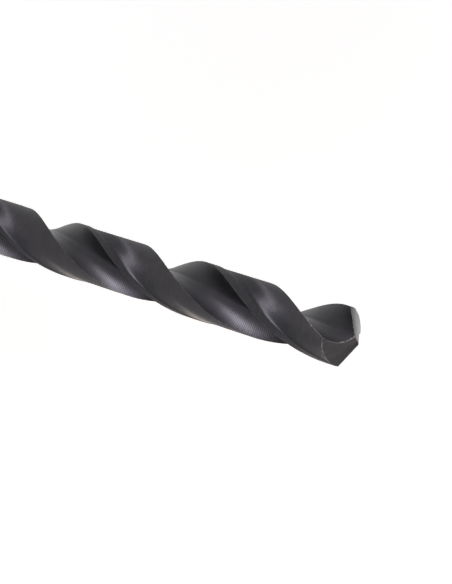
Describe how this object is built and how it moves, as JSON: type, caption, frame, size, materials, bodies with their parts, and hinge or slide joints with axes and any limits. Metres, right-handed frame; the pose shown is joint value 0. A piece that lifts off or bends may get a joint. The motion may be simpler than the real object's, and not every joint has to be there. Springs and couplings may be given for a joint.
{
  "type": "twist drill bit",
  "caption": "Right-hand twist drill bit with helical flutes, narrow margins, a conical ground point and a plain round shank for a chuck.",
  "frame": {"origin": "centre of the flat shank end", "axes": "+Z along the drill axis from the shank end to the point; +X toward the outer corner of one lip at the height of the lip corners"},
  "size_m": [0.006, 0.006, 0.093],
  "materials": {
    "drill": "black oxide, fine ground and milled marks"
  },
  "bodies": {
    "root": {"drill": "drill"}
  },
  "joints": []
}
